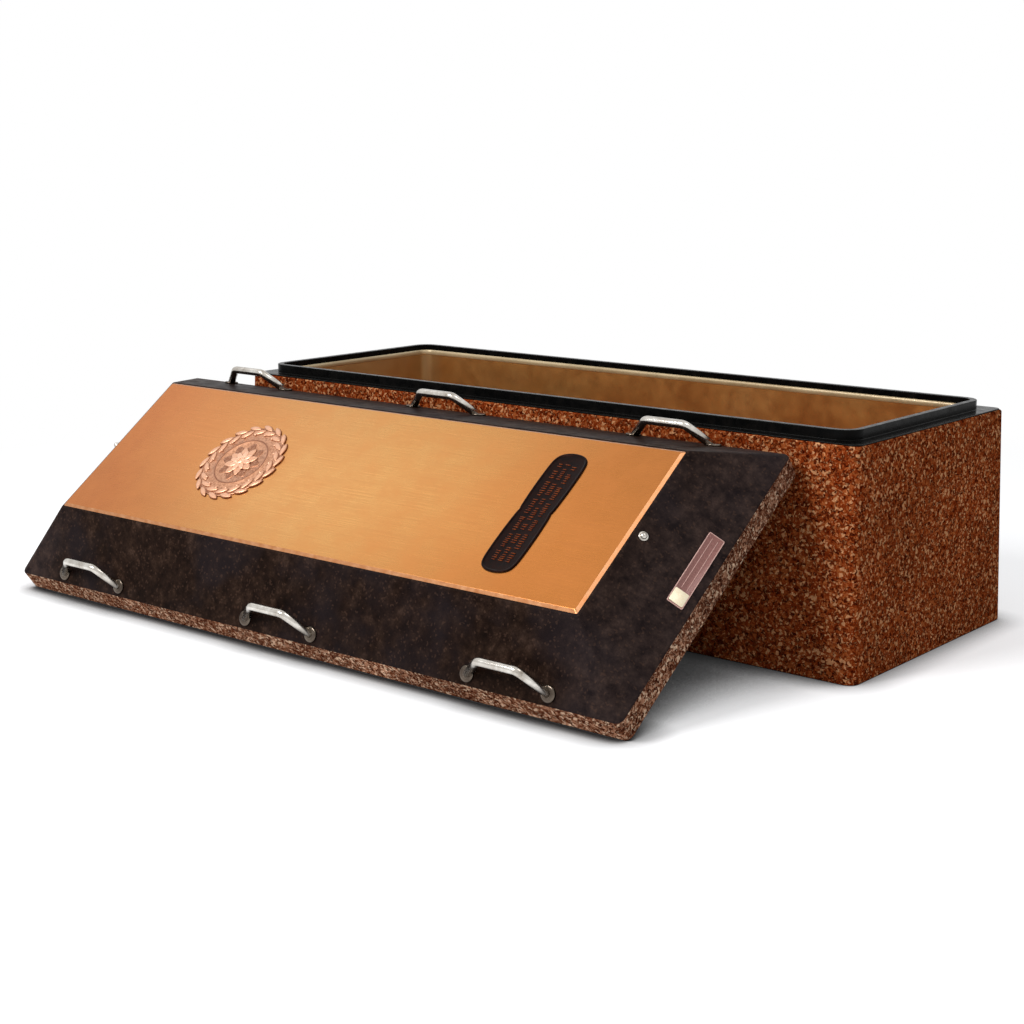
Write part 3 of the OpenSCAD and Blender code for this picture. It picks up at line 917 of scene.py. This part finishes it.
def end_slope(side, up, y):
    """The place on an end slope, up from the stone edge, with +Z as the slope's normal."""
    edge = Matrix.Translation((side * LID_L / 2, y, LID_EDGE_H))
    tilt = Matrix.Rotation(side * END_SLOPE_ANGLE, 4, "Y")
    return edge @ tilt @ Matrix.Translation((-side * up, 0, 0))


def make_label():
    """The small plate on the right end slope: a thin rim, a plain tile, two lines and four pins."""
    bm = bmesh.new()
    low, high = lid_box("label_plate")
    length = high.y - low.y
    place = end_slope(1, LABEL_UP, (low.y + high.y) / 2)
    corner = 0.004
    loft(bm, [
        ring(LABEL_W, length, corner, 0),
        ring(LABEL_W, length, corner, 0.0018),
        ring(LABEL_W - 0.0008, length - 0.0008, corner - 0.0004, 0.0022),
        ring(LABEL_W - 0.0050, length - 0.0050, corner - 0.0016, 0.0022),
        ring(LABEL_W - 0.0062, length - 0.0062, corner - 0.0020, 0.0016),
    ], [1, 1, 1, 0], place)
    tile_y = (TILE_W - length) / 2 + TILE_MARGIN
    loft(bm, [
        ring(TILE_W, TILE_W, 0.003, 0.0010),
        ring(TILE_W, TILE_W, 0.003, 0.0021),
        ring(TILE_W - 0.0010, TILE_W - 0.0010, 0.0025, LABEL_T),
    ], [2, 2], place @ Matrix.Translation((0, tile_y, 0)))
    line_l = length - TILE_W - 2 * LINE_MARGIN
    line_y = (length - line_l) / 2 - LINE_MARGIN
    for side in (-1, 1):
        stroke(bm, place, side * LINE_X, line_y, LINE_W, line_l, 0.0015, 0.0021)
        pin_x = side * (LABEL_W / 2 - PIN_IN)
        for pin_y in (tile_y + TILE_W / 2 + 0.009, length / 2 - 0.0095):
            centre = place @ Vector((pin_x, pin_y, 0.0015))
            bead(bm, *centre, PIN_R, 0.35)
    bm.transform(LID)
    piece("label_plate_with_tile", bm, [LABEL_FIELD, LABEL, TILE], ["label_plate"])


def make_stud(side, node):
    """A small bright stud: a flange with a rounded edge under a domed head."""
    bm = bmesh.new()
    low, high = lid_box(node)
    slope_length = END_SLOPE_RUN / cos(END_SLOPE_ANGLE)
    place = end_slope(side, slope_length - STUD_DOWN, (low.y + high.y) / 2)
    profile = [
        (0.0130, 0), (0.0130, 0.0026), (0.0122, 0.0037), (0.0105, 0.0040), (0.0092, 0.0040),
        (0.0090, 0.0052), (0.0085, 0.0075), (0.0072, 0.0096), (0.0052, 0.0114), (0.0028, 0.0126),
        (0.0006, 0.0130),
    ]
    loft(bm, [circle(r, z, 40) for r, z in profile], place=place)
    bm.transform(LID)
    piece("bright_" + node, bm, [STEEL], [node])


def handle_line():
    """The line of a handle's bar in the XZ plane, as points with their directions."""
    leg = atan(HANDLE_RISE / ((HANDLE_SPAN - HANDLE_TOP) / 2))
    tangent = HANDLE_BEND_R * tan(leg / 2)
    steps = 10
    line = []
    for side, angles in ((-1, [leg * (1 - i / steps) for i in range(steps + 1)]),
                         (1, [-leg * i / steps for i in range(steps + 1)])):
        for direction in angles:
            line.append((
                side * (HANDLE_TOP / 2 - tangent) - HANDLE_BEND_R * sin(direction),
                HANDLE_RISE - HANDLE_BEND_R * (1 - cos(direction)),
                direction,
            ))
    end_x = HANDLE_SPAN / 2
    return [(-end_x, 0, leg)] + line + [(end_x, 0, -leg)]


def make_handle(node):
    """A lifting handle: a smooth arched bar and two round feet that lie on the slope."""
    bm = bmesh.new()
    middle = LID.inverted() @ Vector(mount(node.replace("handle", "lift"))["pos_m"])
    place = Matrix.Translation(middle - Vector((0, 0, HANDLE_RISE)))
    if "back" in node:
        place = place @ Matrix.Rotation(pi, 4, "Z")
    tube(bm, handle_line(), HANDLE_BAR_D / 2 - BAR_EASE, 28, place)
    foot_profile = [
        (FOOT_R, 0), (FOOT_R, 0.0036), (FOOT_R - 0.0010, 0.0050), (FOOT_R - 0.0030, FOOT_T),
        (0.0160, FOOT_T), (0.0060, FOOT_T),
    ]
    for end in (-1, 1):
        foot = (place @ Matrix.Translation((end * HANDLE_SPAN / 2, 0, 0))
                @ Matrix.Rotation(SIDE_SLOPE_ANGLE, 4, "X"))
        loft(bm, [circle(r, z, 48) for r, z in foot_profile], [1] * (len(foot_profile) - 1), foot)
    bm.transform(LID)
    piece("steel_" + node, bm, [STEEL, FOOT_STEEL_PAINTED_SHADE], [node])


# ---------------------------------------------------------------- stage, light and camera


def seen_directly(tree):
    """1 for rays from the camera, mirrors and clear materials, which see the background as white."""
    path = tree.nodes.new("ShaderNodeLightPath")
    seen = path.outputs["Is Camera Ray"]
    for kind in ("Is Glossy Ray", "Is Transmission Ray"):
        either = tree.nodes.new("ShaderNodeMath")
        either.operation = "MAXIMUM"
        tree.links.new(seen, either.inputs[0])
        tree.links.new(path.outputs[kind], either.inputs[1])
        seen = either.outputs[0]
    return seen


def make_stage():
    """A pale floor that shows as white far out and keeps the object's soft shadow near it, deepened
    by painted shade from ambient occlusion.
    """
    f = Finish("pale_floor", Roughness=0.9, Specular_IOR_Level=0.0)
    f.shader.inputs["Base Color"].default_value = (0.90, 0.90, 0.91, 1)
    away = f.node("ShaderNodeVectorMath", {0: f.place}, operation="LENGTH").outputs["Value"]
    far = f.span(away, 1.9, 3.6)
    lift = f.node("ShaderNodeEmission", {"Color": (1, 1, 1, 1), "Strength": 0.42})
    white = f.node("ShaderNodeEmission", {"Color": (1, 1, 1, 1), "Strength": 1.0})
    lit = f.node("ShaderNodeAddShader", {0: f.shader.outputs[0], 1: lift.outputs[0]})
    black = f.node("ShaderNodeEmission", {"Strength": 0.0})
    # Painted shade: ambient occlusion darkens the floor at contact lines and where the box and the
    # lid hem it in.
    contact_ao_painted_shade = f.node("ShaderNodeAmbientOcclusion", {"Distance": 0.10}).outputs["AO"]
    enclosure_ao_painted_shade = f.node("ShaderNodeAmbientOcclusion", {"Distance": 0.80}).outputs["AO"]
    clear = f.math("MULTIPLY", f.math("POWER", contact_ao_painted_shade, 1.5), f.span(enclosure_ao_painted_shade, 0.24, 0.57, 0.06, 1.0))
    near = f.node("ShaderNodeMixShader", {0: clear, 1: black.outputs[0], 2: lit.outputs[0]})
    shown = f.node("ShaderNodeMixShader", {0: far, 1: near.outputs[0], 2: white.outputs[0]})
    floor_shader = f.node("ShaderNodeMixShader", {
        0: seen_directly(f.tree), 1: f.shader.outputs[0], 2: shown.outputs[0],
    })
    f.tree.links.new(floor_shader.outputs[0], f.output.inputs["Surface"])
    bm = bmesh.new()
    bmesh.ops.create_grid(bm, x_segments=1, y_segments=1, size=30)
    mesh = bpy.data.meshes.new("floor")
    bm.to_mesh(mesh)
    bm.free()
    mesh.materials.append(f.material)
    floor = bpy.data.objects.new("floor", mesh)
    floor.location.z = -0.0003
    bpy.context.scene.collection.objects.link(floor)


def make_world():
    """Even pale light all round, which the camera and mirrors see as white."""
    world = bpy.data.worlds.new("studio")
    world.use_nodes = True
    tree = world.node_tree
    ambient = tree.nodes["Background"]
    ambient.inputs["Color"].default_value = (0.96, 0.98, 1.0, 1)
    ambient.inputs["Strength"].default_value = 0.45
    white = tree.nodes.new("ShaderNodeBackground")
    white.inputs["Color"].default_value = (1, 1, 1, 1)
    white.inputs["Strength"].default_value = 1.0
    mix = tree.nodes.new("ShaderNodeMixShader")
    tree.links.new(seen_directly(tree), mix.inputs[0])
    tree.links.new(ambient.outputs[0], mix.inputs[1])
    tree.links.new(white.outputs[0], mix.inputs[2])
    tree.links.new(mix.outputs[0], tree.nodes["World Output"].inputs["Surface"])
    bpy.context.scene.world = world


def softbox(name, place, aim, size, power):
    """A white rectangular lamp at a place, aimed at a point."""
    lamp = bpy.data.lights.new(name, "AREA")
    lamp.shape = "RECTANGLE"
    lamp.size, lamp.size_y = size
    lamp.energy = power
    holder = bpy.data.objects.new(name, lamp)
    holder.location = place
    holder.rotation_euler = (Vector(aim) - Vector(place)).to_track_quat("-Z", "Y").to_euler()
    bpy.context.scene.collection.objects.link(holder)


def make_camera():
    """The camera's place, and its heading as azimuth and elevation in degrees."""
    azimuth, elevation = radians(39.713), radians(11.937)
    lens = bpy.data.cameras.new("camera")
    lens.lens = 62.70
    lens.sensor_width = 36
    lens.clip_end = 100
    camera = bpy.data.objects.new("camera", lens)
    camera.location = (3.3044, -4.41557, 1.40121)
    camera.rotation_euler = (pi / 2 - elevation, 0, azimuth)
    bpy.context.scene.collection.objects.link(camera)
    bpy.context.scene.camera = camera


make_camera()
make_box()
make_rim()
make_liner()
make_lid()
make_cover()
make_medallion()
make_name_plate()
make_label()
make_stud(1, "stud_right")
make_stud(-1, "stud_left")
for row in ("front", "back"):
    for spot in ("left", "middle", "right"):
        make_handle(f"handle_{row}_{spot}")
make_stage()
make_world()
softbox("key", (-1.5, -5.4, 4.2), (0, -0.3, 0.3), (2.4, 2.0), 300)
softbox("top_left", (-3.1, -0.9, 3.9), (-0.2, -0.9, 0.4), (0.5, 2.4), 3.5)
softbox("overhead", (2.6, -1.0, 4.6), (0.7, -0.8, 0.4), (2.4, 1.6), 30)
bpy.context.scene.view_settings.view_transform = "Standard"
